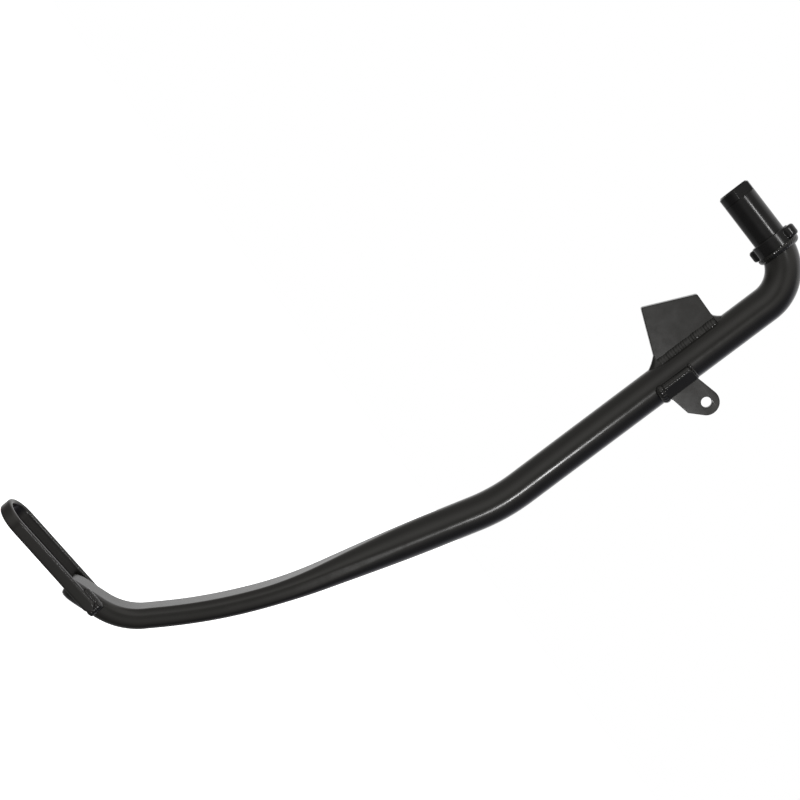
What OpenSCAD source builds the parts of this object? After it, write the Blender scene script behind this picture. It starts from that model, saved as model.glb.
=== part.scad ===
// Motorcycle kickstand leg, a steel weldment with a pivot shaft at its top and a loop-shaped foot.
// The frame has +Z up with the upper leg vertical. The pivot shaft lies along X with its free end
// towards -X, and the origin is on its axis at the collar's seat, the face that meets the bracket.
// The leg hangs down -Z and leans on its way, in an upright plane that is turned a little from the XZ
// plane about the upper leg's axis. Lengths are in mm.

/* [Pivot shaft] */
// Diameter of the pivot shaft
shaft_d = 19.05; // [17:0.05:19.5]
// Diameter of the shaft's root, which the collar is pressed on
root_d = 18.6; // [16:0.1:18.8]
// Length of the shaft beyond the collar's seat
shaft_len = 33.2; // [28:0.2:40]
// Chamfer round the shaft's free end
shaft_chamfer = 1.2; // [0.2:0.1:1.5]
// Distance across the two flats milled on the shaft's tip
flats_w = 15.4; // [11:0.1:17]
// Length of the two flats
flats_len = 7; // [5:0.5:10]
// Turn of the flats about the shaft
flats_turn = 30; // [0:1:45]
// Tapping diameter of the hole in the shaft's end
end_hole_d = 6.8; // [5:0.1:8]
// Depth of the hole in the shaft's end
end_hole_depth = 16; // [10:0.5:24]

/* [Lock collar] */
// Diameter of the collar's ring
collar_d = 23; // [22:0.5:26]
// Thickness of the collar
collar_h = 8; // [6:0.5:10]
// Radius that the collar's two lugs reach
lug_reach = 15.5; // [14:0.5:18]
// Width of each lug
lug_w = 9; // [7:0.5:12]
// Turn of the lugs about the shaft
lug_turn = 30; // [0:1:45]

/* [Leg tube] */
// Turn of the leg's plane about the upper leg's axis, away from the shaft's line
leg_turn = 9; // [0:0.5:12]
// Outside diameter of the tube
tube_d = 20; // [19:0.5:22]
// Wall thickness of the tube
tube_wall = 3; // [2:0.5:4]
// Distance from the collar's seat to the upper leg's axis
seat_to_leg = 28.5; // [27.5:0.5:32]
// Centreline radius of the right-angle bend under the shaft
top_bend_r = 23.8; // [22:0.1:25]
// Length of the straight upper leg
upper_len = 169.1; // [150:0.2:190]
// Centreline radius of the middle bend
knee_r = 112; // [80:1:150]
// Angle of the middle bend
knee_turn = 15.2; // [10:0.2:20]
// Length of the straight middle leg
middle_len = 92; // [80:1:110]
// Centreline radius of the long lower bend
shin_r = 326; // [250:1:400]
// Angle of the long lower bend
shin_turn = 16.8; // [10:0.2:20]
// Length of the straight above the foot bend
ankle_len = 9.5; // [5:0.5:15]
// Centreline radius of the foot bend
foot_bend_r = 38; // [32:1:45]
// Angle of the foot bend
foot_turn = 40; // [34:1:46]
// Length of the straight tongue
tongue_len = 22.5; // [18:0.5:26]

/* [Pressed section] */
// Round length of the middle leg before the tube starts to flatten
round_len = 26; // [15:1:40]
// Length over which the tube flattens
press_len = 105; // [80:1:120]
// Width of the flattened tube
flat_w = 21.8; // [20.8:0.1:23]
// Thickness of the flattened tube
flat_t = 11.9; // [10:0.1:14]
// Corner radius of the flattened tube
flat_corner = 3.2; // [3.1:0.1:4.5]

/* [Bumper plate] */
// Thickness of the bumper plate
plate_t = 4.8; // [3:0.1:6]

/* [Spring bracket] */
// Thickness of the spring bracket
ear_t = 3; // [2:0.1:4]
// Diameter of the spring hole
ear_hole_d = 6; // [5:0.1:8]
// Radius of the bracket's rounded end
ear_r = 7.4; // [6.5:0.1:9]
// Angle between the bracket's flange and its ear
flange_tilt = 20; // [10:1:30]

/* [Foot loop] */
// Outside width of the loop
loop_w = 29.2; // [29.2:0.2:33]
// Length of the loop from its tip to the ends of its arms
loop_len = 77; // [65:1:85]
// Thickness of the flat bar
loop_bar_t = 3.6; // [3:0.1:3.6]
// Height of the flat bar, which stands on edge
loop_bar_h = 7.7; // [6:0.1:10]
// Tilt of the loop from the shaft's direction
loop_tilt = 2.5; // [0:0.1:4]

/* [Hidden] */
$fn = 96;
EPS = 0.01;

paint = [0.13, 0.13, 0.13];
paint_light = [0.2, 0.2, 0.21];
bead_paint = [0.28, 0.28, 0.3];

tube_r = tube_d / 2;
bore_r = tube_r - tube_wall;
joint_x = seat_to_leg - top_bend_r;
spigot_d = 12.6;
spigot_len = 5;

// Headings are degrees from straight down, turning towards -X. A path point is [[x, z], heading].
function along(a) = [-sin(a), -cos(a)];
function inward(a) = [-cos(a), sin(a)];
function on_line(p, a, s) = [p + s * along(a), a];
function on_arc(p, a, r, s) =
    let (b = a + s / r * 180 / PI)
    [p + r * (inward(a) - inward(b)), b];
// A segment is [radius, length], with radius 0 on a straight.
function on_segment(at, g, s) = g[0] == 0 ? on_line(at[0], at[1], s) : on_arc(at[0], at[1], g[0], s);
function on_path(at, segments, s, i = 0) =
    i == len(segments) - 1 || s <= segments[i][1]
        ? on_segment(at, segments[i], s)
        : on_path(on_segment(at, segments[i], segments[i][1]), segments, s - segments[i][1], i + 1);
function arc_len(r, turn) = r * turn * PI / 180;
function ease(t) = let (c = min(max(t, 0), 1)) c * c * (3 - 2 * c);
function mix(a, b, t) = a + (b - a) * t;

// Where each stretch of the leg starts
at_joint = [[joint_x, 0], -90];
at_upper = on_arc(at_joint[0], at_joint[1], top_bend_r, arc_len(top_bend_r, 90));
at_knee = on_line(at_upper[0], at_upper[1], upper_len);
at_middle = on_arc(at_knee[0], at_knee[1], knee_r, arc_len(knee_r, knee_turn));
at_press = on_line(at_middle[0], at_middle[1], round_len);

// The lower leg, from where the tube starts to flatten
shin_s = middle_len - round_len;
ankle_s = shin_s + arc_len(shin_r, shin_turn);
foot_s = ankle_s + ankle_len;
tongue_s = foot_s + arc_len(foot_bend_r, foot_turn);
tip_s = tongue_s + tongue_len;
nose_len = 10;
lower_path = [
    [0, shin_s], [shin_r, ankle_s - shin_s], [0, ankle_len],
    [foot_bend_r, tongue_s - foot_s], [0, tongue_len]
];
function lower_at(s) = on_path(at_press, lower_path, s);
function nose(s) = sqrt(max(0, 1 - pow(max(0, 1 - (tip_s - s) / nose_len), 2.6)));
function lower_t(s) = mix(tube_d - bend_swell, flat_t, ease(s / press_len)) * mix(0.75, 1, nose(s));
function lower_w(s) = mix(tube_d - bend_swell, flat_w, ease(s / press_len)) * mix(0.6, 1, nose(s));
function lower_corner(s) = mix(tube_r - bend_swell / 2, flat_corner, ease(s / press_len));

// A section of width w and thickness t with corners of radius r, as n points round its outline
function flat_section(w, t, r, n) = [
    for (i = [0:n - 1])
        let (th = 360 * (i + 0.5) / n)
        [(w / 2 - r) * sign(cos(th)) + r * cos(th), (t / 2 - r) * sign(sin(th)) + r * sin(th)]
];
function placed(section, at) = [
    for (q = section) let (m = at[0] + q[1] * inward(at[1])) [m[0], q[0], m[1]]
];
function evenly(a, b, n) = [for (i = [1:n]) mix(a, b, i / n)];

// A closed skin through rings of n points each
module skin(rings, n) {
    last = len(rings) - 1;
    sides = [
        for (k = [0:last - 1], i = [0:n - 1])
            let (j = (i + 1) % n)
            each [
                [k * n + i, k * n + j, (k + 1) * n + j],
                [k * n + i, (k + 1) * n + j, (k + 1) * n + i]
            ]
    ];
    ends = [[for (i = [n - 1:-1:0]) i], [for (i = [0:n - 1]) last * n + i]];
    polyhedron([for (r = rings) each r], concat(sides, ends));
}

module lower_skin(stations, inset, n) {
    skin([
        for (s = stations)
            let (w = lower_w(s) - 2 * inset, t = lower_t(s) - 2 * inset)
            placed(flat_section(w, t, min(lower_corner(s) - inset, w / 2, t / 2), n), lower_at(s))
    ], n);
}

// Turns what is drawn in the XZ plane into the leg's plane
module turned() {
    translate([seat_to_leg, 0, 0]) rotate([0, 0, leg_turn]) translate([-seat_to_leg, 0, 0]) children();
}

// A straight of the tube, which starts run before the place that it is given
module straight(at, r, h, run = 0) {
    translate([at[0][0], 0, at[0][1]]) rotate([0, 180 + at[1], 0])
        translate([0, 0, -run]) cylinder(h = h + run, r = r);
}

module bend(at, r, bend_r, turn) {
    c = at[0] + bend_r * inward(at[1]);
    translate([c[0], 0, c[1]]) rotate([90, 0, 0])
        rotate_extrude(angle = turn, start = -(at[1] + turn)) translate([bend_r, 0]) circle(r = r);
}

// The straights run a little way into the bends, which are a hair thicker, so no two faces coincide.
bend_swell = 0.02;
run_in = 0.5;
module upper_leg(r) {
    bend(at_joint, r + bend_swell, top_bend_r, 90);
    straight(at_upper, r, upper_len + run_in, run_in);
    turned() {
        bend(at_knee, r + bend_swell, knee_r, knee_turn);
        straight(at_middle, r, round_len, run_in);
    }
}

// Points on the leg's plane: d down the upper leg from the shaft's axis, o out from its axis towards -X
function on_leg(d, o) = [seat_to_leg - o, -d];

// A shape drawn in XZ and given a thickness about the plane y = 0
module in_plane(t) {
    rotate([90, 0, 0]) linear_extrude(height = t, center = true) children();
}

// A shape drawn across the shaft, with its x on +Z and its y on -Y, extruded towards +X from x0
module across_shaft(x0, h) {
    translate([x0, 0, 0]) rotate([0, 90, 0]) rotate([0, 0, 180]) linear_extrude(height = h) children();
}

outer_stations = concat(
    [-run_in, 0], evenly(0, press_len, 11), evenly(press_len, ankle_s, 5), [foot_s],
    evenly(foot_s, tongue_s, 8), [tip_s - nose_len],
    [for (t = [0.25, 0.5, 0.7, 0.85, 0.95, 1]) tip_s - nose_len * (1 - t)]
);
bore_stations = concat([-run_in, 0], evenly(0, press_len, 9), evenly(press_len, ankle_s, 4), [foot_s]);

module leg_tube() {
    color(paint) difference() {
        union() {
            upper_leg(tube_r);
            turned() lower_skin(outer_stations, 0, 40);
        }
        union() {
            upper_leg(bore_r);
            turned() lower_skin(bore_stations, tube_wall, 28);
        }
    }
}

module flats_cut() {
    for (side = [-1, 1])
        rotate([side * 90 - flats_turn, 0, 0])
            translate([-shaft_len - EPS, -shaft_d, flats_w / 2])
                cube([flats_len + EPS, 2 * shaft_d, shaft_d]);
}

module pivot_shaft() {
    color(paint) difference() {
        union() {
            translate([-shaft_len, 0, 0]) rotate([0, 90, 0])
                cylinder(h = shaft_chamfer, d1 = shaft_d - 2 * shaft_chamfer, d2 = shaft_d);
            translate([shaft_chamfer - shaft_len, 0, 0]) rotate([0, 90, 0])
                cylinder(h = shaft_len - shaft_chamfer, d = shaft_d);
            translate([-EPS, 0, 0]) rotate([0, 90, 0]) cylinder(h = joint_x + EPS, d = root_d);
            translate([joint_x - EPS, 0, 0]) rotate([0, 90, 0]) cylinder(h = spigot_len + EPS, d = spigot_d);
        }
        flats_cut();
        translate([-shaft_len - EPS, 0, 0]) rotate([0, 90, 0])
            cylinder(h = end_hole_depth + EPS, d = end_hole_d);
    }
}

// The two lugs, each rounded to half its width at its end
module lug_outline() {
    rotate([0, 0, lug_turn]) for (side = [-1, 1]) {
        translate([side * (lug_reach - lug_w / 2), 0]) circle(d = lug_w);
        translate([side * lug_reach / 2 - side * lug_w / 4, 0])
            square([lug_reach - lug_w / 2, lug_w], center = true);
    }
}

socket_clear = 0.3;
lug_front = 0.6;
lug_back = 0.6;
module lock_collar() {
    color(paint_light) difference() {
        union() {
            across_shaft(0, collar_h) circle(d = collar_d);
            across_shaft(lug_front, collar_h - lug_front - lug_back) lug_outline();
        }
        translate([-EPS, 0, 0]) rotate([0, 90, 0]) cylinder(h = collar_h + 2 * EPS, d = root_d);
        translate([joint_x, 0, 0]) rotate([0, 90, 0])
            cylinder(h = collar_h, r = tube_r + socket_clear);
    }
}

collar_bead_r = 3.2;
module collar_weld() {
    color(bead_paint) difference() {
        translate([collar_h, 0, 0]) rotate([0, 90, 0])
            rotate_extrude() translate([tube_r, 0]) circle(r = collar_bead_r, $fn = 32);
        translate([-tube_r, -tube_d, -tube_d]) cube([collar_h + tube_r, 2 * tube_d, 2 * tube_d]);
        bend(at_joint, tube_r, top_bend_r, 90);
    }
}

// Corners of the bumper plate as [down the leg, out from the leg's axis]
plate_base = 10.02;
plate_foot_base = [91.9, plate_base];
plate_foot_top = [79.4, 41];
plate_pivot_top = [50.3, 28.1];
plate_pivot_base = [50.8, plate_base];

module tube_cut() {
    straight(at_upper, tube_r, upper_len);
}

module bumper_plate() {
    color(paint_light) in_plane(plate_t) polygon([
        for (c = [plate_foot_base, plate_foot_top, plate_pivot_top, plate_pivot_base]) on_leg(c[0], c[1])
    ]);
}

plate_bead_r = 3.4;
plate_bead_d0 = plate_pivot_base[0];
plate_bead_d1 = 89.7;
// A bead along one face of the plate, where side is -1 at the front and 1 at the rear
module bumper_bead(side) {
    y0 = plate_t / 2;
    x0 = on_leg(0, sqrt(tube_r * tube_r - y0 * y0))[0];
    difference() {
        translate([x0, side * y0, -plate_bead_d1])
            cylinder(h = plate_bead_d1 - plate_bead_d0, r = plate_bead_r, $fn = 32);
        tube_cut();
        translate([x0 - tube_r, -y0, -plate_bead_d1 - 1]) cube([tube_d, plate_t, plate_bead_d1]);
    }
}

module bumper_weld_front() {
    color(bead_paint) bumper_bead(-1);
}

module bumper_weld_rear() {
    color(bead_paint) bumper_bead(1);
}

// The fillet round one end of the plate. Its outline is hollow, and given as on_leg() takes it.
module bumper_end_bead(outline) {
    difference() {
        in_plane(plate_t + plate_bead_r) polygon([for (c = outline) on_leg(c[0], c[1])]);
        tube_cut();
        bumper_plate();
    }
}

module bumper_weld_foot_end() {
    d = plate_bead_d1;
    color(bead_paint) bumper_end_bead([[d, 8], [d, 15], [92.1, 12.8], [94.9, 11], [97.9, 10.3], [97.9, 8]]);
}

module bumper_weld_pivot_end() {
    d = plate_bead_d0;
    color(bead_paint) bumper_end_bead([[d, 8], [d, 14], [48.9, 12], [45.9, 10.4], [45.9, 8]]);
}

// The spring bracket: a folded strip, with an ear parallel to the leg's plane and a flange on the tube's front
flange_w = 8.6;
flange_free = 2;
flange_d0 = 77.9;
flange_d1 = 96.9;
flange_bite = 0.1;
ear_hole = [82.15, -21.8];
ear_corner = [93.8, -20.5];
ear_end = -32;
flange_mid = tube_r - flange_bite + ear_t / 2;
fold_o = -sin(flange_tilt) * flange_mid - cos(flange_tilt) * flange_w / 2;
ear_y = -cos(flange_tilt) * flange_mid + sin(flange_tilt) * flange_w / 2;

// The strip seen from above: the flange from its free edge to the fold, then the ear
module strip_profile() {
    fold = [on_leg(0, fold_o)[0], ear_y];
    out = [sin(flange_tilt), -cos(flange_tilt)] * ear_t / 2;
    miter = ([0, -ear_t / 2] + out) / (1 + cos(flange_tilt));
    free = fold - (flange_w - flange_free) * [cos(flange_tilt), sin(flange_tilt)];
    far = [on_leg(0, ear_end)[0], ear_y];
    half = [0, ear_t / 2];
    polygon([free + out, fold + miter, far - half, far + half, fold - miter, free - out]);
}

// The direction from the centre of a circle to where a line from p touches it, on the side that side says
function touch_angle(c, r, p, side) =
    atan2(p[1] - c[1], p[0] - c[0]) + side * acos(r / norm(p - c));
function arc_points(c, r, a0, a1, n) = [for (i = [0:n]) c + r * [cos(mix(a0, a1, i / n)), sin(mix(a0, a1, i / n))]];

// The strip seen from the side: the flange's rectangle and, past the fold, the ear's rounded outline
module strip_side() {
    c = on_leg(ear_hole[0], ear_hole[1]);
    top = on_leg(flange_d0, fold_o);
    corner = on_leg(ear_corner[0], ear_corner[1]);
    polygon(concat(
        [on_leg(flange_d0, tube_r / 2), top],
        arc_points(c, ear_r, touch_angle(c, ear_r, top, -1), touch_angle(c, ear_r, corner, 1), 24),
        [corner, on_leg(flange_d1 - 1, fold_o - 2), on_leg(flange_d1, fold_o), on_leg(flange_d1, tube_r / 2)]
    ));
}

module spring_bracket() {
    color(paint_light) difference() {
        intersection() {
            translate([0, 0, -flange_d1 - ear_r]) linear_extrude(height = flange_d1) strip_profile();
            in_plane(4 * tube_d) strip_side();
        }
        translate([on_leg(ear_hole[0], ear_hole[1])[0], ear_y, -ear_hole[0]])
            rotate([90, 0, 0]) cylinder(h = 2 * ear_t, d = ear_hole_d, center = true);
        tube_cut();
    }
}

bracket_bead_r = 3.2;
bracket_bead_lift = 0.4;
bracket_bead_short = 0.4;
bracket_bead_long = 0.6;
// The bead along the flange's free edge, which starts short of one end of the flange and runs past the other
module bracket_weld_edge() {
    color(bead_paint) difference() {
        translate([seat_to_leg, 0, -flange_d1 - bracket_bead_long]) rotate([0, 0, flange_tilt - 90])
            translate([tube_r + bracket_bead_lift, flange_free - flange_w / 2, 0])
                cylinder(
                    h = flange_d1 - flange_d0 + bracket_bead_long - bracket_bead_short,
                    r = bracket_bead_r, $fn = 32
                );
        tube_cut();
        spring_bracket();
    }
}

// The bead round the tube at distance d, which runs across one end of the flange
module bracket_end_bead(d, r) {
    difference() {
        translate([seat_to_leg, 0, -d]) rotate([0, 0, -100])
            rotate_extrude(angle = 70) translate([tube_r, 0]) circle(r = r, $fn = 24);
        tube_cut();
        spring_bracket();
        bracket_weld_edge();
    }
}

module bracket_weld_foot_end() {
    color(bead_paint) bracket_end_bead(flange_d1 + 1.3, 3.2);
}

module bracket_weld_pivot_end() {
    color(bead_paint) bracket_end_bead(flange_d0 - 0.2, 1.3);
}

// The loop's tip, down the upper leg and out from its axis
loop_tip = [427.75, 170.4];

// Puts x = 0 at the loop's tip with +x along its arms towards the leg, and z = 0 at the bar's mid-height
module on_loop() {
    p = on_leg(loop_tip[0], loop_tip[1]);
    translate([p[0], 0, p[1]]) rotate([0, -loop_tilt, 0]) children();
}

// A U with a round closed end at x = x0, and half its width in r
module u_outline(x0, r) {
    translate([x0 + r, 0]) circle(r = r);
    translate([x0 + r, -r]) square([loop_len, 2 * r]);
}

module loop_bar() {
    linear_extrude(height = loop_bar_h, center = true) difference() {
        u_outline(0, loop_w / 2);
        u_outline(loop_bar_t, loop_w / 2 - loop_bar_t);
    }
}

// The loop's outline from the side, with the ends of its arms rounded
module loop_side() {
    rotate([90, 0, 0]) linear_extrude(height = loop_w + 2, center = true) {
        translate([-1, -loop_bar_h]) square([loop_len + 1 - loop_bar_h / 2, 2 * loop_bar_h]);
        translate([loop_len - loop_bar_h / 2, 0]) circle(d = loop_bar_h);
    }
}

module foot_loop() {
    color(paint_light) on_loop() intersection() {
        loop_bar();
        loop_side();
    }
}

foot_bead_r = 3.2;
foot_top_bead_r = 2.6;
foot_rear_bead_r = 2.8;
foot_bead_over = 12;
foot_front_rise = 1.4;
foot_rear_rise = 0.8;
// A short stretch of the leg round the foot bend, which the beads there are cut against
module tongue_cut() {
    lower_skin(concat([foot_s], evenly(foot_s, tongue_s, 8), [tip_s - nose_len]), 0, 40);
}

// The bead along an arm's top edge, where side is -1 at the front and 1 at the rear
module foot_top_bead(side) {
    translate([loop_len - foot_bead_over, side * flat_w / 2, loop_bar_h / 2]) rotate([0, 90, 0])
        cylinder(h = foot_bead_over, r = foot_top_bead_r, $fn = 24);
}

// The bead down an arm's end across the leg's side, from the arm's lower edge to h above it
module foot_end_bead(side, r, h) {
    translate([loop_len, side * flat_w / 2, -loop_bar_h / 2]) cylinder(h = h, r = r, $fn = 24);
}

module foot_weld_front() {
    color(bead_paint) difference() {
        on_loop() {
            foot_top_bead(-1);
            foot_end_bead(-1, foot_bead_r, foot_front_rise * loop_bar_h);
        }
        tongue_cut();
        foot_loop();
    }
}

module foot_weld_rear() {
    color(bead_paint) difference() {
        on_loop() foot_end_bead(1, foot_rear_bead_r, foot_rear_rise * loop_bar_h);
        tongue_cut();
        foot_loop();
    }
}

leg_tube();
pivot_shaft();
lock_collar();
collar_weld();
turned() bumper_plate();
turned() bumper_weld_front();
turned() bumper_weld_rear();
turned() bumper_weld_foot_end();
turned() bumper_weld_pivot_end();
turned() spring_bracket();
turned() bracket_weld_edge();
turned() bracket_weld_foot_end();
turned() bracket_weld_pivot_end();
turned() foot_loop();
turned() foot_weld_front();
turned() foot_weld_rear();
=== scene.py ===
"""The looks of the kickstand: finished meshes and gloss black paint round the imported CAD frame.

Lengths are in millimetres in the frame's axes until a mesh is made, and in metres in the lights and camera.
Every piece stands for one CAD node.
"""

from math import acos, asin, atan2, ceil, cos, hypot, pi, radians, sin, sqrt

import bmesh
import bpy
import numpy as np
from mathutils import Matrix, Vector, noise


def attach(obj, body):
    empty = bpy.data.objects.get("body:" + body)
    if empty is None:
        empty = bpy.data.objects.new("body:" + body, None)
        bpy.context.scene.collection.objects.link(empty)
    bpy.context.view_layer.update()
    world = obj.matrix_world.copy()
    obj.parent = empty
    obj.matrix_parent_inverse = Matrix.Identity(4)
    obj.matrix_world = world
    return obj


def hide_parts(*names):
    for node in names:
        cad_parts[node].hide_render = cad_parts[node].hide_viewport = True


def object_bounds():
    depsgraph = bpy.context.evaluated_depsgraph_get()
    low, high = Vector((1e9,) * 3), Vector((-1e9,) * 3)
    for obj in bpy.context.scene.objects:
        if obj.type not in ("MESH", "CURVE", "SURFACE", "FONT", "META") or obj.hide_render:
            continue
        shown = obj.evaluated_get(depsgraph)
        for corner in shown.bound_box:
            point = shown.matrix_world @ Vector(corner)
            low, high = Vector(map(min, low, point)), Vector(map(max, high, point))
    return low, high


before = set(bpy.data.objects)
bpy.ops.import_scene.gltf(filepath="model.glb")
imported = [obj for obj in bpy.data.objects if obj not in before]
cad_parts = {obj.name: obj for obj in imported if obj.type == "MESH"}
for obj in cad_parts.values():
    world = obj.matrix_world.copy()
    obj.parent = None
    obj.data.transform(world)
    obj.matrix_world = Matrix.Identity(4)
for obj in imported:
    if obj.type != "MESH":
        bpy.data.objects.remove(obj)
CAD_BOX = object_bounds()
MM = 0.001
TURN = 2 * pi

# ---------------------------------------------------------------- driving dimensions, as the CAD has them
SHAFT_R = 9.525
ROOT_R = 9.3
SPIGOT_R = 6.3
SPIGOT_LEN = 5
SHAFT_LEN = 33.2
SHAFT_CHAMFER = 1.2
FLATS_HALF = 7.7
FLATS_LEN = 7
FLATS_NORMAL = radians(30)
HOLE_R = 3.4
HOLE_DEPTH = 16
THREAD_PITCH = 1.25

COLLAR_R = 11.5
COLLAR_H = 8
LUG_R = 4.5
LUG_CENTRE = 11
LUG_TURN = radians(30)
LUG_FRONT = 0.6
LUG_BACK = 0.6

TUBE_R = 10
TUBE_WALL = 3
LEG_X = 28.5
LEG_TURN = radians(9)
TOP_BEND_R = 23.8
JOINT_X = LEG_X - TOP_BEND_R
UPPER_LEN = 169.1
KNEE_R, KNEE_TURN = 112, radians(15.2)
MIDDLE_LEN = 92
SHIN_R, SHIN_TURN = 326, radians(16.8)
ANKLE_LEN = 9.5
FOOT_BEND_R, FOOT_TURN = 38, radians(40)
TONGUE_LEN = 22.5
ROUND_LEN = 26
PRESS_LEN = 105
FLAT_W, FLAT_T, FLAT_CORNER = 21.8, 11.9, 3.2
NOSE_LEN = 10
# How far the middle of the flattened tube's narrow sides stands out beyond their corners
SIDE_BULGE = 1.6

PLATE_T = 4.8
PLATE_BASE = 10.02
PLATE_CORNERS = [(91.9, PLATE_BASE), (79.4, 41), (50.3, 28.1), (50.8, PLATE_BASE)]
PLATE_BEAD_R = 3.4
PLATE_BEAD_SPAN = (50.8, 89.7)
COLLAR_BEAD_R = 3.2

EAR_T = 3
EAR_HOLE_R = 3
EAR_HOLE = (82.15, -21.8)
EAR_R = 7.4
EAR_CORNER = (93.8, -20.5)
FLANGE_TILT = radians(20)
FLANGE_HALF = 4.3
FLANGE_FREE = 2
FLANGE_SPAN = (77.9, 96.9)
FLANGE_MID = TUBE_R - 0.1 + EAR_T / 2
FOLD_O = -sin(FLANGE_TILT) * FLANGE_MID - cos(FLANGE_TILT) * FLANGE_HALF
EAR_Y = -cos(FLANGE_TILT) * FLANGE_MID + sin(FLANGE_TILT) * FLANGE_HALF
BRACKET_BEAD_LIFT = 0.4
BRACKET_BEAD_LONG = 0.6

LOOP_W = 29.2
LOOP_LEN = 77
LOOP_BAR_T, LOOP_BAR_H = 3.6, 7.7
LOOP_TILT = radians(2.5)
BAR_CORNER = 1.65
LOOP_TIP = (427.75, 170.4)
FOOT_BEAD_OVER = 12

# The collar's clearance round the tube, and the distance between a bead's ripples
SOCKET_CLEAR = 0.3
RIPPLE_PITCH = 1.7


# ---------------------------------------------------------------- small helpers
# Turns what is drawn in the XZ plane into the leg's plane, about the upper leg's axis, in metres
LEG_PLANE = (Matrix.Translation((LEG_X * MM, 0, 0)) @ Matrix.Rotation(LEG_TURN, 4, "Z")
             @ Matrix.Translation((-LEG_X * MM, 0, 0)))


def ease(t):
    c = min(max(t, 0), 1)
    return c * c * (3 - 2 * c)


def mix(a, b, t):
    return a + (b - a) * t


def unit(v):
    v = np.asarray(v, float)
    return v / np.linalg.norm(v)


def on_leg(d, o):
    """d down the upper leg from the shaft's axis and o out from its axis towards -X, as (x, z)."""
    return LEG_X - o, -d


def wobble(x, y=0.0, z=0.0):
    """Smooth noise between about -1 and 1, the same on every run."""
    return noise.noise(Vector((x, y, z)))


def add_piece(mesh, node, material, sharp=35, turned=True):
    """Shows mesh in place of the CAD node, on the same body. A turned piece was drawn in the XZ plane."""
    if turned:
        mesh.transform(LEG_PLANE)
    mesh.materials.append(material)
    mesh.shade_smooth()
    mesh.set_sharp_from_angle(angle=radians(sharp))
    piece = bpy.data.objects.new(node + "_finish", mesh)
    bpy.context.scene.collection.objects.link(piece)
    even = piece.modifiers.new("even_normals", "WEIGHTED_NORMAL")
    even.keep_sharp = True
    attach(piece, "root")
    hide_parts(node)
    return piece


def skin_faces(start, count, ring):
    """Quads that join count rings of ring points each, from vertex number start, with a cap at either end."""
    quads = [
        (start + k * ring + i, start + k * ring + (i + 1) % ring,
         start + (k + 1) * ring + (i + 1) % ring, start + (k + 1) * ring + i)
        for k in range(count - 1) for i in range(ring)
    ]
    caps = [tuple(start + i for i in reversed(range(ring))),
            tuple(start + (count - 1) * ring + i for i in range(ring))]
    return quads + caps


def skins_mesh(name, skins):
    """One mesh of closed skins, each a list of rings that have equal numbers of points, in millimetres."""
    points, faces = [], []
    for rings in skins:
        rings = np.asarray(rings, float)
        faces += skin_faces(len(points), rings.shape[0], rings.shape[1])
        points += [tuple(p) for p in rings.reshape(-1, 3) * MM]
    mesh = bpy.data.meshes.new(name)
    mesh.from_pydata(points, [], faces)
    bm = bmesh.new()
    bm.from_mesh(mesh)
    bmesh.ops.recalc_face_normals(bm, faces=bm.faces)
    bm.to_mesh(mesh)
    bm.free()
    return mesh


# ---------------------------------------------------------------- paint
def node_tree(name):
    material = bpy.data.materials.new(name)
    material.use_nodes = True
    return material, material.node_tree.nodes, material.node_tree.links


def noise_node(nodes, links, scale, detail, rough=0.5):
    place = nodes.new("ShaderNodeTexCoord")
    tex = nodes.new("ShaderNodeTexNoise")
    tex.inputs["Scale"].default_value = scale
    tex.inputs["Detail"].default_value = detail
    tex.inputs["Roughness"].default_value = rough
    links.new(place.outputs["Object"], tex.inputs["Vector"])
    return tex.outputs["Fac"]


def ranged(nodes, links, value, low, high):
    """Spreads the middle of a noise's range over low to high."""
    tool = nodes.new("ShaderNodeMapRange")
    tool.inputs["From Min"].default_value = 0.3
    tool.inputs["From Max"].default_value = 0.7
    tool.inputs["To Min"].default_value = low
    tool.inputs["To Max"].default_value = high
    links.new(value, tool.inputs["Value"])
    return tool.outputs["Result"]


def gloss_paint(name, dark, light, rough, peel, lumps, ior=1.5):
    """Gloss black paint: two blacks in soft patches, uneven gloss, orange peel and lumps below the film.

    peel and lumps are heights in metres, and rough is the range of the roughness.
    """
    material, nodes, links = node_tree(name)
    shader = nodes["Principled BSDF"]
    shader.inputs["IOR"].default_value = ior

    patches = noise_node(nodes, links, 45, 4)
    blacks = nodes.new("ShaderNodeMix")
    blacks.data_type = "RGBA"
    blacks.inputs["A"].default_value = (*dark, 1)
    blacks.inputs["B"].default_value = (*light, 1)
    links.new(ranged(nodes, links, patches, 0, 1), blacks.inputs["Factor"])
    links.new(blacks.outputs["Result"], shader.inputs["Base Color"])

    smears = noise_node(nodes, links, 160, 6, 0.6)
    links.new(ranged(nodes, links, smears, *rough), shader.inputs["Roughness"])

    fine = nodes.new("ShaderNodeBump")
    fine.inputs["Strength"].default_value = 1
    fine.inputs["Distance"].default_value = peel
    links.new(noise_node(nodes, links, 700, 2), fine.inputs["Height"])
    coarse = nodes.new("ShaderNodeBump")
    coarse.inputs["Strength"].default_value = 1
    coarse.inputs["Distance"].default_value = lumps
    links.new(noise_node(nodes, links, 170, 3), coarse.inputs["Height"])
    links.new(coarse.outputs["Normal"], fine.inputs["Normal"])
    links.new(fine.outputs["Normal"], shader.inputs["Normal"])
    return material


LEG_PAINT = gloss_paint("gloss_black_leg", (0.0105, 0.0100, 0.0092), (0.0140, 0.0132, 0.0118),
                        (0.17, 0.25), 0.0000015, 0.000004)
# Painted shade: the shaft's and the collar's copy of the leg's gloss black paint, with a darker black and a
# lower IOR, so that they look darker than the leg
SHAFT_PAINT_WITH_SHADE = gloss_paint("gloss_black_shaft", (0.0050, 0.0049, 0.0052), (0.0080, 0.0078, 0.0080),
                          (0.19, 0.28), 0.0000015, 0.000003, 1.42)
WELD_PAINT = gloss_paint("gloss_black_weld", (0.0100, 0.0096, 0.0090), (0.0135, 0.0130, 0.0120),
                         (0.15, 0.22), 0.000008, 0.00014)


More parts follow.
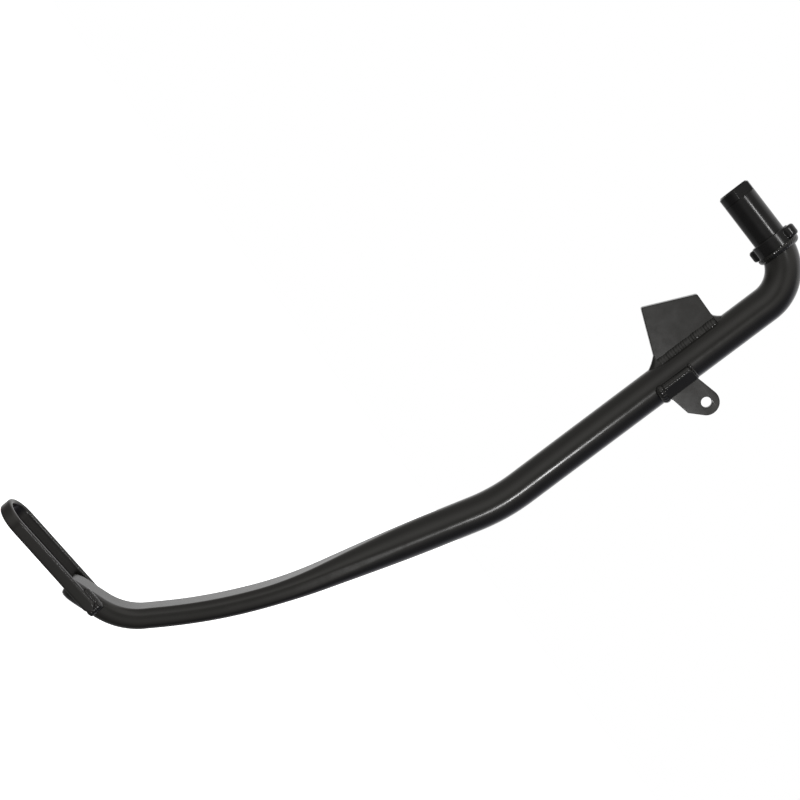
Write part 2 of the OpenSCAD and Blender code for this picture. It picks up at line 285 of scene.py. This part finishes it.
# ---------------------------------------------------------------- the leg
# The centreline's stretches as (bend radius, length), with radius 0 on a straight
CENTRELINE = [
    (TOP_BEND_R, TOP_BEND_R * pi / 2), (0, UPPER_LEN), (KNEE_R, KNEE_R * KNEE_TURN), (0, MIDDLE_LEN),
    (SHIN_R, SHIN_R * SHIN_TURN), (0, ANKLE_LEN), (FOOT_BEND_R, FOOT_BEND_R * FOOT_TURN), (0, TONGUE_LEN),
]
UPPER_S = CENTRELINE[0][1]
PRESS_S = sum(length for _, length in CENTRELINE[:3]) + ROUND_LEN
FOOT_S = sum(length for _, length in CENTRELINE[:6])
TIP_S = sum(length for _, length in CENTRELINE)
# The sides swell only above this place, and are clear of the foot loop's arms below it
ARM_S = FOOT_S - 20


def along(a):
    return np.array([-sin(a), 0, -cos(a)])


def inward(a):
    return np.array([-cos(a), 0, sin(a)])


def centre_at(s):
    """The centreline's point and heading at length s from the joint, turning from straight down to -X."""
    point, a = np.array([JOINT_X, 0, 0.0]), -pi / 2
    for bend, length in CENTRELINE:
        step = min(s, length)
        if bend:
            b = a + step / bend
            point, a = point + bend * (inward(a) - inward(b)), b
        else:
            point = point + step * along(a)
        s -= step
        if s <= 0:
            break
    return point, a


def section_at(s):
    """Width, thickness and corner radius of the tube at length s."""
    t = ease((s - PRESS_S) / PRESS_LEN)
    nose = sqrt(max(0, 1 - max(0, 1 - (TIP_S - s) / NOSE_LEN) ** 2.6))
    width = mix(2 * TUBE_R, FLAT_W, t) * mix(0.6, 1, nose)
    thickness = mix(2 * TUBE_R, FLAT_T, t) * mix(0.75, 1, nose)
    return width, thickness, mix(TUBE_R, FLAT_CORNER, t)


def rounded_rectangle(width, thickness, corner, count):
    """count points spaced evenly round a rounded rectangle, as (across, through)."""
    w, t = width / 2 - corner, thickness / 2 - corner
    outline = [(width / 2, 0)]
    for cx, cy, a0 in ((w, t, 0), (-w, t, pi / 2), (-w, -t, pi), (w, -t, 1.5 * pi)):
        turns = a0 + np.linspace(0, pi / 2, 33)
        outline += [(cx + corner * cos(a), cy + corner * sin(a)) for a in turns]
    outline = np.array(outline + outline[:1])
    run = np.concatenate([[0], np.cumsum(np.hypot(*np.diff(outline, axis=0).T))])
    at = run[-1] * (np.arange(count) + 0.5) / count
    return np.interp(at, run, outline[:, 0]), np.interp(at, run, outline[:, 1])


def leg_ring(s, inset=0.0, count=128):
    point, a = centre_at(s)
    width, thickness, corner = section_at(s)
    width, thickness = width - 2 * inset, thickness - 2 * inset
    corner = min(corner - inset, width / 2, thickness / 2)
    bulge = SIDE_BULGE * ease((s - PRESS_S) / PRESS_LEN)
    swell = 0.3 * bulge * ease((ARM_S - s) / 30)
    across, through = rounded_rectangle(width, thickness, corner, count)
    across = across * (1 + (swell - bulge * (2 * through / thickness) ** 2) / (width / 2))
    ring = point + np.outer(through, inward(a)) + np.outer(across, (0, 1, 0))
    # The bend below the shaft lies in the XZ plane, and the round upper leg takes up the turn
    turn = LEG_TURN * ease((s - UPPER_S) / UPPER_LEN)
    ring = ring - (LEG_X, 0, 0)
    spin = np.array([[cos(turn), sin(turn), 0], [-sin(turn), cos(turn), 0], [0, 0, 1]])
    return ring @ spin + (LEG_X, 0, 0)


def leg_tube():
    bore = np.arange(0, FOOT_S, 3)
    nose = [TIP_S - NOSE_LEN * cos(t) for t in np.linspace(0, pi / 2, 20)[:-1]]
    end_round = 0.8
    rings = [leg_ring(s, TUBE_WALL) for s in reversed(bore)]
    rings += [leg_ring(s) for s in list(np.arange(0, TIP_S - NOSE_LEN, 1.5)) + nose]
    rings += [leg_ring(TIP_S - end_round * (1 - sin(t)), end_round * (1 - cos(t)))
              for t in np.linspace(0.2, pi / 2, 6)]
    add_piece(skins_mesh("leg_tube", [rings]), "leg_tube", LEG_PAINT, turned=False)


# ---------------------------------------------------------------- the shaft and its collar
def round_x(x, radius, count=192):
    """A circle about the shaft's axis, as angles from +Z towards -Y."""
    th = np.linspace(0, TURN, count, endpoint=False)
    return np.stack([np.full(count, float(x)), -radius * np.sin(th), radius * np.cos(th)], 1)


def flatten(ring, half):
    """Moves the points beyond half on either side of the flats onto them."""
    normal = np.array([0, -cos(FLATS_NORMAL), sin(FLATS_NORMAL)])
    reach = ring @ normal
    return ring + np.outer(np.clip(reach, -half, half) - reach, normal)


def pivot_shaft():
    end = -SHAFT_LEN
    step = end + FLATS_LEN
    th = np.linspace(0, TURN, 192, endpoint=False)
    drill_point = 1.6
    rings = [round_x(end + HOLE_DEPTH + drill_point, 0.05), round_x(end + HOLE_DEPTH, HOLE_R)]
    # A real thread, whose crest climbs once round in each pitch
    thread_depth = 0.38
    for x in np.arange(end + HOLE_DEPTH - 1, end + 1.2, -THREAD_PITCH / 6):
        phase = (x / THREAD_PITCH + th / TURN) % 1
        groove = thread_depth * (1 - np.abs(2 * phase - 1))
        ring = round_x(x, 1)
        ring[:, 1:] *= (HOLE_R + groove)[:, None]
        rings.append(ring)
    # The hole's countersink, the end face and the chamfer, as (how far in from the end, radius)
    face_r = SHAFT_R - SHAFT_CHAMFER
    profile = [
        (0.9, HOLE_R + 0.1), (0.1, HOLE_R + 0.9), (0, HOLE_R + 1.05), (0, face_r - 0.25),
        (0.07, face_r + 0.02), (SHAFT_CHAMFER - 0.15, SHAFT_R - 0.12), (SHAFT_CHAMFER + 0.15, SHAFT_R),
    ]
    rings += [round_x(end + inset, radius) for inset, radius in profile]
    rings = [flatten(r, FLATS_HALF) for r in rings]
    # The flats end in a small fillet and a wall
    fillet = 0.5
    rings += [flatten(round_x(step - fillet * cos(t), SHAFT_R), FLATS_HALF + fillet * (1 - sin(t)))
              for t in np.linspace(pi / 2, 0, 6)[1:]]
    rings += [flatten(round_x(step, SHAFT_R), mix(FLATS_HALF + fillet, SHAFT_R - 0.15, t))
              for t in (0.5, 1)]
    rings += [round_x(step + 0.15, SHAFT_R)]
    rings += [round_x(x, SHAFT_R) for x in np.linspace(step + 1, -0.5, 12)]
    rings += [round_x(0, SHAFT_R), round_x(0, ROOT_R), round_x(JOINT_X, ROOT_R), round_x(JOINT_X, SPIGOT_R)]
    rings += [round_x(JOINT_X + SPIGOT_LEN, SPIGOT_R)]
    add_piece(skins_mesh("pivot_shaft", [rings]), "pivot_shaft", SHAFT_PAINT_WITH_SHADE, turned=False)


def lug_reach(th, soft):
    """How far the lug's round end reaches at angle th from its middle, drawn in by soft all round."""
    radius = LUG_R - soft
    if abs(th) >= asin(radius / LUG_CENTRE):
        return 0
    return LUG_CENTRE * cos(th) + sqrt(radius * radius - (LUG_CENTRE * sin(th)) ** 2)


def collar_ring(x, ring_r, lug_soft=None, count=288):
    """One slice of the collar, with the lugs drawn in by lug_soft, or without them where it is None."""
    ring = []
    for i in range(count):
        th = TURN * i / count
        reach = ring_r
        if lug_soft is not None:
            off = (th - LUG_TURN + pi / 2) % pi - pi / 2
            reach = max(ring_r, lug_reach(off, lug_soft))
        ring.append((x, -reach * sin(th), reach * cos(th)))
    return ring


def lock_collar():
    ring_soft, back_soft, lug_soft = 0.6, 0.4, 1.6
    back = COLLAR_H - LUG_BACK
    turn = np.linspace(0, pi / 2, 6)
    rings = [collar_ring(JOINT_X, ROOT_R), collar_ring(0, ROOT_R)]
    rings += [collar_ring(ring_soft * (1 - cos(t)), COLLAR_R - ring_soft * (1 - sin(t))) for t in turn]
    rings += [collar_ring(LUG_FRONT + lug_soft * (1 - cos(t)), COLLAR_R, lug_soft * (1 - sin(t)))
              for t in turn]
    rings += [collar_ring(back - lug_soft * (1 - cos(t)), COLLAR_R, lug_soft * (1 - sin(t)))
              for t in turn[::-1]]
    rings += [collar_ring(back, COLLAR_R)]
    rings += [collar_ring(COLLAR_H - back_soft * (1 - cos(t)), COLLAR_R - back_soft * (1 - sin(t)))
              for t in turn[::-1]]
    rings += [collar_ring(COLLAR_H, TUBE_R + SOCKET_CLEAR), collar_ring(JOINT_X, TUBE_R + SOCKET_CLEAR)]
    mesh = skins_mesh("lock_collar", [rings])
    add_piece(mesh, "lock_collar", SHAFT_PAINT_WITH_SHADE, 40, turned=False)


# ---------------------------------------------------------------- welds
def bead_rings(centres, out, side, radius, seed, ripple=0.16, taper=1.6):
    """Rings of a weld bead: circles round its centres, rippled as the arc moved, and sunk towards the joint.

    out and side span each circle's plane, and out points away from the joint. ripple is the depth between
    two ripples, and taper the length over which each end rounds off.
    """
    count = 28
    sink = 0.6
    lag_reach = 0.9
    centres = np.asarray(centres, float)
    lengths = np.concatenate([[0], np.cumsum(np.linalg.norm(np.diff(centres, axis=0), axis=1))])
    total = lengths[-1]
    rings = []
    for centre, s, u, v in zip(centres, lengths, out, side):
        near_end = min(1, min(s, total - s) / taper)
        size = sqrt(max(0.03, 1 - (1 - near_end) ** 2))
        size *= 1 - 0.05 * (0.5 + 0.5 * wobble(s * 0.22, seed))
        ring = []
        for i in range(count):
            th = TURN * i / count
            lag = lag_reach * (1 - cos(th))
            wave = (s + lag) / RIPPLE_PITCH + 0.35 * wobble(s * 0.5, seed + 7)
            dip = ripple * (0.5 + 0.5 * cos(TURN * wave)) ** 1.5
            pit = 0.05 * (1 + wobble(s * 1.3, 2 * cos(th), seed + 2 * sin(th)))
            r = radius * size - dip - pit
            depth = 1 if cos(th) > 0 else sink
            ring.append(centre + r * (depth * cos(th) * u + sin(th) * v))
        rings.append(ring)
    return rings


def straight_bead(start, end, out, radius, seed, **shape):
    """A bead from start to end, whose circles stand across its line."""
    start, end = np.asarray(start, float), np.asarray(end, float)
    count = ceil(np.linalg.norm(end - start) / 0.25)
    centres = [mix(start, end, i / count) for i in range(count + 1)]
    u = unit(out)
    v = np.cross(unit(end - start), u)
    return bead_rings(centres, [u] * len(centres), [v] * len(centres), radius, seed, **shape)


def collar_weld():
    """The bead round the tube under the collar, as a ring of open sections that is closed on itself."""
    count, ripples = 300, 50
    round_len = TURN * (TUBE_R + COLLAR_BEAD_R)
    rings = []
    for k in range(count):
        th = TURN * k / count
        away = np.array([0, -sin(th), cos(th)])
        s = round_len * k / count
        size = COLLAR_BEAD_R * (1 - 0.1 * (1 + wobble(4 * cos(th), 4 * sin(th), 5)) / 2)
        ring = []
        for i in range(22):
            a = mix(radians(-65), radians(100), i / 21)
            wave = (s + 0.9 * (1 - cos(a - radians(45)))) * ripples / round_len
            dip = 0.1 * (0.5 + 0.5 * cos(TURN * wave)) ** 1.5
            pit = 0.12 * (1 + wobble(6 * cos(th), 6 * sin(th), 2 * a))
            r = size - dip - pit
            ring.append(np.array([COLLAR_H + r * cos(a), 0, 0]) + (TUBE_R + r * sin(a)) * away)
        ring.append(np.array([COLLAR_H - 0.4, 0, 0]) + (TUBE_R - 1) * away)
        rings.append(ring)
    rings.append(rings[0])
    mesh = skins_mesh("collar_weld", [rings])
    bm = bmesh.new()
    bm.from_mesh(mesh)
    bm.faces.ensure_lookup_table()
    bmesh.ops.delete(bm, geom=[f for f in bm.faces if len(f.verts) > 4], context="FACES_ONLY")
    bmesh.ops.remove_doubles(bm, verts=bm.verts, dist=1e-7)
    bmesh.ops.recalc_face_normals(bm, faces=bm.faces)
    bm.to_mesh(mesh)
    bm.free()
    add_piece(mesh, "collar_weld", WELD_PAINT, 60, turned=False)


def fillet_ring(foot, head, heart, bulge, inner):
    """A bead's section from its toe on the tube to its toe on the plate, closed through points inside them.

    bulge is 0 for a section drawn into the corner at heart, 0.5 for a flat one and 1 for a full one.
    """
    pull = heart + bulge * ((foot - heart) + (head - heart))
    ring = [(1 - t) ** 2 * foot + 2 * t * (1 - t) * pull + t * t * head for t in np.linspace(0, 1, 14)]
    return ring + list(inner)


def plate_side_bead(node, side, seed):
    """The bead along one face of the plate, where side is -1 at the front and 1 at the rear."""
    y = PLATE_T / 2
    d0, d1 = PLATE_BEAD_SPAN
    rings = []
    for d in np.linspace(d0, d1, 180):
        wave = cos(TURN * (d / RIPPLE_PITCH + 0.4 * wobble(d * 0.4, seed)))
        size = PLATE_BEAD_R * (0.9 + 0.08 * wobble(d * 0.3, seed + 3) + 0.025 * wave)
        toe_y = y + 0.75 * size
        foot = np.array([LEG_X - sqrt(TUBE_R ** 2 - toe_y ** 2) + 0.25, side * toe_y, -d - 0.1 * size])
        head = np.array([LEG_X - TUBE_R - 0.85 * size, side * (y - 0.1), -d])
        heart = np.array([LEG_X - TUBE_R + 0.2, side * y, -d + 0.5])
        bulge = 0.9 + 0.03 * wave + 0.25 * wobble(d * 0.24, seed + 5)
        inner = [np.array([LEG_X - TUBE_R - 0.7 * size, side * (y - 0.8), -d]),
                 np.array([LEG_X - TUBE_R + 1.8, side * (y - 0.8), -d])]
        rings.append(fillet_ring(foot, head, heart, bulge, inner))
    add_piece(skins_mesh(node, [rings]), node, WELD_PAINT, 60)


def plate_end_bead(node, side_d, corner_d, toe, top, seed):
    """The bead round one end of the plate: a hollow fillet at the end that turns into the round side beads.

    toe and top are its edges on the tube and on the plate, as (d, o).
    """
    rings = []
    for a in np.linspace(-pi / 2, pi / 2, 60):
        turn = cos(a)
        y = PLATE_T / 2 * sin(a)
        d = mix(side_d, corner_d, turn)
        swell = 1 - 0.06 * (0.5 + 0.5 * cos(9 * a)) + 0.03 * wobble(2 * a, seed)
        toe_y = y + 1.7 * sin(a) * swell
        toe_d = mix(side_d, toe[0], turn * swell)
        foot = np.array([LEG_X - sqrt(TUBE_R ** 2 - toe_y ** 2) + 0.3, toe_y, -toe_d])
        head_o = mix(TUBE_R + 0.9 * PLATE_BEAD_R, top[1], turn * swell)
        head = np.array([LEG_X - head_o, 0.97 * y, -mix(side_d, top[0], turn)])
        heart = np.array([LEG_X - TUBE_R - 0.2, y, -d])
        within = side_d + (0.5 if corner_d < side_d else -0.5)
        inner = [np.array([x, 0.3 * y, -within]) for x in (LEG_X - head_o, LEG_X - TUBE_R + 1.6)]
        rings.append(fillet_ring(foot, head, heart, mix(0.65, 0.35, turn), inner))
    add_piece(skins_mesh(node, [rings]), node, WELD_PAINT, 60)


def bracket_edge_bead():
    """The bead along the flange's free edge."""
    a = FLANGE_TILT - pi / 2
    out, side = np.array([cos(a), sin(a), 0]), np.array([-sin(a), cos(a), 0])
    free_edge = (FLANGE_FREE - FLANGE_HALF) * side
    centre = np.array([LEG_X, 0, 0]) + (TUBE_R + BRACKET_BEAD_LIFT) * out + free_edge
    d0, d1 = FLANGE_SPAN[0], FLANGE_SPAN[1] + BRACKET_BEAD_LONG
    rings = straight_bead(centre - (0, 0, d0), centre - (0, 0, d1), out - 0.5 * side, 2.7, 31,
                          ripple=0.1, taper=2)
    add_piece(skins_mesh("bracket_weld_edge", [rings]), "bracket_weld_edge", WELD_PAINT, 60)


def bracket_end_bead(node, d, radius, seed):
    """A bead round the tube across one end of the flange."""
    angles = np.radians(np.linspace(-100, -30, 60))
    out = [np.array([cos(a), sin(a), 0]) for a in angles]
    centres = [np.array([LEG_X, 0, -d]) + TUBE_R * u for u in out]
    up = [np.array([0, 0, 1.0])] * len(out)
    rings = bead_rings(centres, out, up, radius, seed, ripple=0.1 * min(radius, 2), taper=radius)
    add_piece(skins_mesh(node, [rings]), node, WELD_PAINT, 60)


# ---------------------------------------------------------------- plates
def arc(centre, radius, a0, a1, count):
    turns = [mix(a0, a1, i / count) for i in range(count + 1)]
    return [(centre[0] + radius * cos(a), centre[1] + radius * sin(a)) for a in turns]


def rounded(corners, radii, count=6):
    """A convex outline with each corner rounded to its own radius."""
    outline = []
    total = len(corners)
    for i, (corner, radius) in enumerate(zip(corners, radii)):
        corner = np.array(corner, float)
        before, after = unit(corners[i - 1] - corner), unit(corners[(i + 1) % total] - corner)
        half = acos(np.clip(before @ after, -1, 1)) / 2
        centre = corner + unit(before + after) * radius / sin(half)
        start, stop = corner + before * radius / np.tan(half), corner + after * radius / np.tan(half)
        a0 = atan2(*(start - centre)[::-1])
        a1 = atan2(*(stop - centre)[::-1])
        a1 = a0 + (a1 - a0 + pi) % TURN - pi
        outline += arc(centre, radius, a0, a1, count)
    return outline


def sheet_mesh(name, outlines, thickness, edge_r):
    """A flat plate in (x, z) about y = 0 with rounded edges. outlines are its rim and then its holes."""
    curve = bpy.data.curves.new(name, "CURVE")
    curve.dimensions = "2D"
    curve.fill_mode = "BOTH"
    curve.extrude = (thickness / 2 - edge_r) * MM
    curve.bevel_depth = edge_r * MM
    curve.bevel_resolution = 3
    curve.offset = -edge_r * MM
    for outline in outlines:
        spline = curve.splines.new("POLY")
        spline.points.add(len(outline) - 1)
        for point, (x, z) in zip(spline.points, outline):
            point.co = (x * MM, z * MM, 0, 1)
        spline.use_cyclic_u = True
    holder = bpy.data.objects.new(name, curve)
    bpy.context.scene.collection.objects.link(holder)
    depsgraph = bpy.context.evaluated_depsgraph_get()
    mesh = bpy.data.meshes.new_from_object(holder.evaluated_get(depsgraph))
    bpy.data.objects.remove(holder)
    bm = bmesh.new()
    bm.from_mesh(mesh)
    bmesh.ops.remove_doubles(bm, verts=bm.verts, dist=1e-7)
    for v in bm.verts:
        v.co = Vector((v.co.x, -v.co.z, v.co.y))
    bmesh.ops.recalc_face_normals(bm, faces=bm.faces)
    bm.to_mesh(mesh)
    bm.free()
    return mesh


def bumper_plate():
    corners = [np.array(on_leg(d, o)) for d, o in PLATE_CORNERS]
    mesh = sheet_mesh("bumper_plate", [rounded(corners, [0.5, 1.1, 1.1, 0.5])], PLATE_T, 0.5)
    add_piece(mesh, "bumper_plate", LEG_PAINT)


def fold(bm, fold_x, inner_r):
    """Folds the flat bracket about the vertical line x = fold_x, so that its far part turns onto the tube."""
    middle_r = inner_r + EAR_T / 2
    bend = middle_r * FLANGE_TILT
    start = fold_x + middle_r * np.tan(FLANGE_TILT / 2)
    for i in range(9):
        x = start - bend * i / 8
        bmesh.ops.bisect_plane(bm, geom=bm.verts[:] + bm.edges[:] + bm.faces[:], dist=1e-7,
                               plane_co=(x * MM, 0, 0), plane_no=(1, 0, 0))
    for v in bm.verts:
        x, y = v.co.x / MM, v.co.y / MM
        run = start - x
        if run <= 0:
            continue
        a = min(run, bend) / middle_r
        # The bend's centre is on the near side, since the flange turns away from the leg's plane
        cx, cy = start, EAR_Y - middle_r
        r = middle_r + (y - EAR_Y)
        px, py = cx - r * sin(a), cy + r * cos(a)
        rest = max(0, run - bend)
        v.co.x, v.co.y = (px - rest * cos(a)) * MM, (py - rest * sin(a)) * MM


def spring_bracket():
    hole = on_leg(*EAR_HOLE)
    top, foot = on_leg(FLANGE_SPAN[0], FOLD_O), on_leg(FLANGE_SPAN[1], FOLD_O)
    corner = np.array(on_leg(*EAR_CORNER))
    fold_x = top[0]

    def touch(p, side):
        """The direction from the hole to where a line from p touches the ear's round end."""
        dx, dz = p[0] - hole[0], p[1] - hole[1]
        return atan2(dz, dx) + side * acos(EAR_R / hypot(dx, dz))

    a0, a1 = touch(top, -1), touch(corner, 1)
    if a0 < a1:
        a0 += TURN
    free_x = fold_x - (2 * FLANGE_HALF - FLANGE_FREE)
    outline = [(free_x, top[1]), top] + arc(hole, EAR_R, a0, a1, 40)
    outline += [tuple(corner), on_leg(FLANGE_SPAN[1] - 1, FOLD_O - 2), foot, (free_x, foot[1])]
    bore = arc(hole, EAR_HOLE_R, 0, TURN, 48)[:-1]
    mesh = sheet_mesh("spring_bracket", [outline, bore], EAR_T, 0.45)
    bm = bmesh.new()
    bm.from_mesh(mesh)
    for v in bm.verts:
        v.co.y += EAR_Y * MM
    fold(bm, fold_x, 1.5)
    bm.to_mesh(mesh)
    bm.free()
    add_piece(mesh, "spring_bracket", LEG_PAINT)


# ---------------------------------------------------------------- the foot loop
def on_loop(x, y, z):
    """x along the arms from the loop's tip towards the leg, y across them, z up from the bar's mid-height."""
    tip = on_leg(*LOOP_TIP)
    return np.array([tip[0] + x * cos(LOOP_TILT) - z * sin(LOOP_TILT), y,
                     tip[1] + x * sin(LOOP_TILT) + z * cos(LOOP_TILT)])


def bar_section(height, thickness, corner, per=6):
    """A rounded rectangle as (across, up) points."""
    w, h = thickness / 2 - corner, height / 2 - corner
    points = []
    for cx, cz, a0 in ((w, h, 0), (-w, h, pi / 2), (-w, -h, pi), (w, -h, 1.5 * pi)):
        points += arc((cx, cz), corner, a0, a0 + pi / 2, per)
    return points


def foot_loop():
    mid_r = (LOOP_W - LOOP_BAR_T) / 2
    turn_x = LOOP_W / 2
    round_r = LOOP_BAR_H / 2
    arm_end = LOOP_LEN - round_r
    # Stations as (centre x, centre y, direction across the bar, height)
    ends = [(arm_end + round_r * sin(t), LOOP_BAR_H * cos(t)) for t in np.linspace(1.5, 0, 12)]
    arm = [(x, LOOP_BAR_H) for x in np.linspace(arm_end - 0.5, turn_x + 0.5, 24)]
    half = [(x, -mid_r, 0.0, -1.0, h) for x, h in ends + arm]
    round_tip = [(turn_x - mid_r * cos(a), mid_r * sin(a), -cos(a), sin(a), LOOP_BAR_H)
                 for a in np.linspace(-pi / 2, pi / 2, 64)]
    other = [(x, -y, 0.0, 1.0, h) for x, y, _, _, h in reversed(half)]
    rings = []
    for x, y, ax, ay, height in half + round_tip + other:
        corner = min(BAR_CORNER, 0.45 * height)
        section = bar_section(height, LOOP_BAR_T, corner)
        rings.append([on_loop(x + ax * across, y + ay * across, up) for across, up in section])
    add_piece(skins_mesh("foot_loop", [rings]), "foot_loop", LEG_PAINT)


def loop_bead(start, end, out, radius, seed, **shape):
    """A straight bead whose places are given as on_loop() takes them."""
    start, end = on_loop(*start), on_loop(*end)
    out = on_loop(*out) - on_loop(0, 0, 0)
    return straight_bead(start, end, out, radius, seed, **shape)


def foot_welds():
    side_y = FLAT_W / 2
    top_z = LOOP_BAR_H / 2
    top = loop_bead((LOOP_LEN - FOOT_BEAD_OVER, -side_y, top_z), (LOOP_LEN, -side_y, top_z),
                    (0, -0.7, 0.7), 2.6, 41, ripple=0.2)
    end = loop_bead((LOOP_LEN, -side_y, -top_z), (LOOP_LEN, -side_y, 6.3),
                    (0.7, -0.7, 0), 3.2, 43, ripple=0.2)
    add_piece(skins_mesh("foot_weld_front", [top, end]), "foot_weld_front", WELD_PAINT, 60)
    rear = loop_bead((LOOP_LEN, side_y, -top_z), (LOOP_LEN, side_y, 2.1),
                     (0.7, 0.7, 0), 2.8, 47, ripple=0.2)
    add_piece(skins_mesh("foot_weld_rear", [rear]), "foot_weld_rear", WELD_PAINT, 60)


# ---------------------------------------------------------------- stage, light and camera
# Strength of the light from each side, as (how far it comes from +X, strength, blueness)
FRONT_LIGHT = [
    (-1, 0.36, 0), (-0.93, 0.5, 0), (-0.82, 0.68, 0), (-0.68, 0.84, 0), (-0.5, 0.8, 0), (-0.33, 0.58, 0),
    (-0.13, 0.36, 0), (0.07, 0.56, 0), (0.27, 0.68, 0), (0.46, 0.5, 0), (0.62, 0.34, 0.4), (0.79, 0.16, 1),
    (1, 0.15, 1),
]
BACK_LIGHT = [
    (-1, 0.36, 0), (-0.9, 0.36, 0), (-0.69, 0.5, 0), (-0.45, 1.0, 0), (-0.2, 1.2, 0), (0.6, 1.2, 0),
    (0.86, 0.75, 0.5), (1, 0.3, 1),
]


def world_light():
    """A pale studio in the leg's plane: white behind, greys in front, dark on the right and dark below."""
    world = bpy.data.worlds.new("studio")
    bpy.context.scene.world = world
    world.use_nodes = True
    nodes, links = world.node_tree.nodes, world.node_tree.links
    background = nodes["Background"]
    place = nodes.new("ShaderNodeTexCoord")
    turn = nodes.new("ShaderNodeVectorRotate")
    turn.rotation_type = "Z_AXIS"
    turn.inputs["Angle"].default_value = -LEG_TURN
    split = nodes.new("ShaderNodeSeparateXYZ")
    links.new(place.outputs["Generated"], turn.inputs["Vector"])
    links.new(turn.outputs["Vector"], split.inputs[0])

    def smooth(value, start, stop, low, high, kind="SMOOTHSTEP"):
        tool = nodes.new("ShaderNodeMapRange")
        tool.interpolation_type = kind
        for key, number in (("From Min", start), ("From Max", stop), ("To Min", low), ("To Max", high)):
            tool.inputs[key].default_value = number
        links.new(value, tool.inputs["Value"])
        return tool.outputs["Result"]

    def ramp(value, stops):
        """A smooth ramp of greys over the X direction, with stops as (X, strength, blue)."""
        tool = nodes.new("ShaderNodeValToRGB")
        tool.color_ramp.interpolation = "CARDINAL"
        elements = tool.color_ramp.elements
        while len(elements) < len(stops):
            elements.new(1)
        for element, (x, strength, blue) in zip(elements, stops):
            element.position = (x + 1) / 2
            element.color = (strength * mix(1, 0.87, blue), strength * mix(0.985, 0.9, blue),
                             strength * mix(0.95, 1.1, blue), 1)
        links.new(value, tool.inputs["Fac"])
        return tool.outputs["Color"]

    across = smooth(split.outputs["X"], -1, 1, 0, 1, "LINEAR")
    front = ramp(across, FRONT_LIGHT)
    back = ramp(across, BACK_LIGHT)
    blend = nodes.new("ShaderNodeMix")
    blend.data_type = "RGBA"
    links.new(smooth(split.outputs["Y"], -0.2, 0.2, 0, 1), blend.inputs["Factor"])
    links.new(front, blend.inputs["A"])
    links.new(back, blend.inputs["B"])
    links.new(blend.outputs["Result"], background.inputs["Color"])
    links.new(smooth(split.outputs["Z"], -0.65, -0.12, 0.35, 1), background.inputs["Strength"])

    # What the camera sees past the object is plain white
    plain = nodes.new("ShaderNodeBackground")
    plain.inputs["Color"].default_value = (1, 1, 1, 1)
    choose = nodes.new("ShaderNodeMixShader")
    path = nodes.new("ShaderNodeLightPath")
    links.new(path.outputs["Is Camera Ray"], choose.inputs["Fac"])
    links.new(background.outputs[0], choose.inputs[1])
    links.new(plain.outputs[0], choose.inputs[2])
    links.new(choose.outputs[0], nodes["World Output"].inputs["Surface"])


def strip_light(name, seen_from, direction, reach, long_side, width, length, power):
    """An area light at reach from a point, facing it, with its long side as given, all in the leg's plane."""
    light = bpy.data.lights.new(name, "AREA")
    light.shape = "RECTANGLE"
    light.size, light.size_y = width, length
    light.energy = power
    lamp = bpy.data.objects.new(name, light)
    bpy.context.scene.collection.objects.link(lamp)
    away = Vector(direction).normalized()
    up = Vector(long_side)
    up = (up - away * up.dot(away)).normalized()
    side = up.cross(away)
    turn = Matrix((side, up, away)).transposed()
    lamp.matrix_world = LEG_PLANE @ Matrix.Translation(Vector(seen_from) + away * reach) @ turn.to_4x4()
    lamp.visible_camera = False


def studio_floor():
    lowest = CAD_BOX[0][2]
    half = 1.6
    mesh = bpy.data.meshes.new("floor")
    gap = 0.0005
    corners = [(-half, -half), (half, -half), (half, half), (-half, half)]
    mesh.from_pydata([(x, y, lowest - gap) for x, y in corners], [], [(0, 1, 2, 3)])
    floor = bpy.data.objects.new("floor", mesh)
    bpy.context.scene.collection.objects.link(floor)
    material, nodes, _ = node_tree("pale_floor")
    shader = nodes["Principled BSDF"]
    shader.inputs["Base Color"].default_value = (0.9, 0.9, 0.9, 1)
    shader.inputs["Emission Color"].default_value = (1, 1, 1, 1)
    shader.inputs["Emission Strength"].default_value = 1
    mesh.materials.append(material)
    floor.visible_glossy = False
    floor.visible_diffuse = False


def camera():
    data = bpy.data.cameras.new("camera")
    data.sensor_fit = "HORIZONTAL"
    data.angle = radians(22.90)
    eye = bpy.data.objects.new("camera", data)
    bpy.context.scene.collection.objects.link(eye)
    right = Vector((0.6111, 0, 0.7916))
    up = Vector((-0.7804, 0.1676, 0.6025))
    back = Vector((-0.1327, -0.9859, 0.1024))
    place = Matrix.Translation((-0.1985, -1.0844, -0.1037)) @ Matrix((right, up, back)).transposed().to_4x4()
    eye.matrix_world = LEG_PLANE @ place
    bpy.context.scene.camera = eye


camera()
world_light()
studio_floor()
strip_light("leg_light", (0.0300, -0.010, -0.185), (0.215, -0.974, -0.065), 1.0, (0, 0, 1),
            0.05, 0.05, 1.7)
strip_light("pin_light", (-0.010, -0.002, 0.003), (-0.106, -0.845, 0.524), 1.0, (-0.988, 0.156, 0),
            0.04, 0.08, 1.3)
bpy.context.scene.view_settings.view_transform = "Standard"

leg_tube()
pivot_shaft()
lock_collar()
collar_weld()
bumper_plate()
plate_side_bead("bumper_weld_front", -1, 11)
plate_side_bead("bumper_weld_rear", 1, 13)
plate_end_bead("bumper_weld_foot_end", PLATE_BEAD_SPAN[1], 91.9, (97.9, 10.2), (90.1, 15), 17)
plate_end_bead("bumper_weld_pivot_end", PLATE_BEAD_SPAN[0], 50.8, (45.9, 10.2), (50.8, 14), 19)
spring_bracket()
bracket_edge_bead()
bracket_end_bead("bracket_weld_foot_end", FLANGE_SPAN[1] + 1.3, 3.2, 23)
bracket_end_bead("bracket_weld_pivot_end", FLANGE_SPAN[0] - 0.2, 1.3, 29)
foot_loop()
foot_welds()
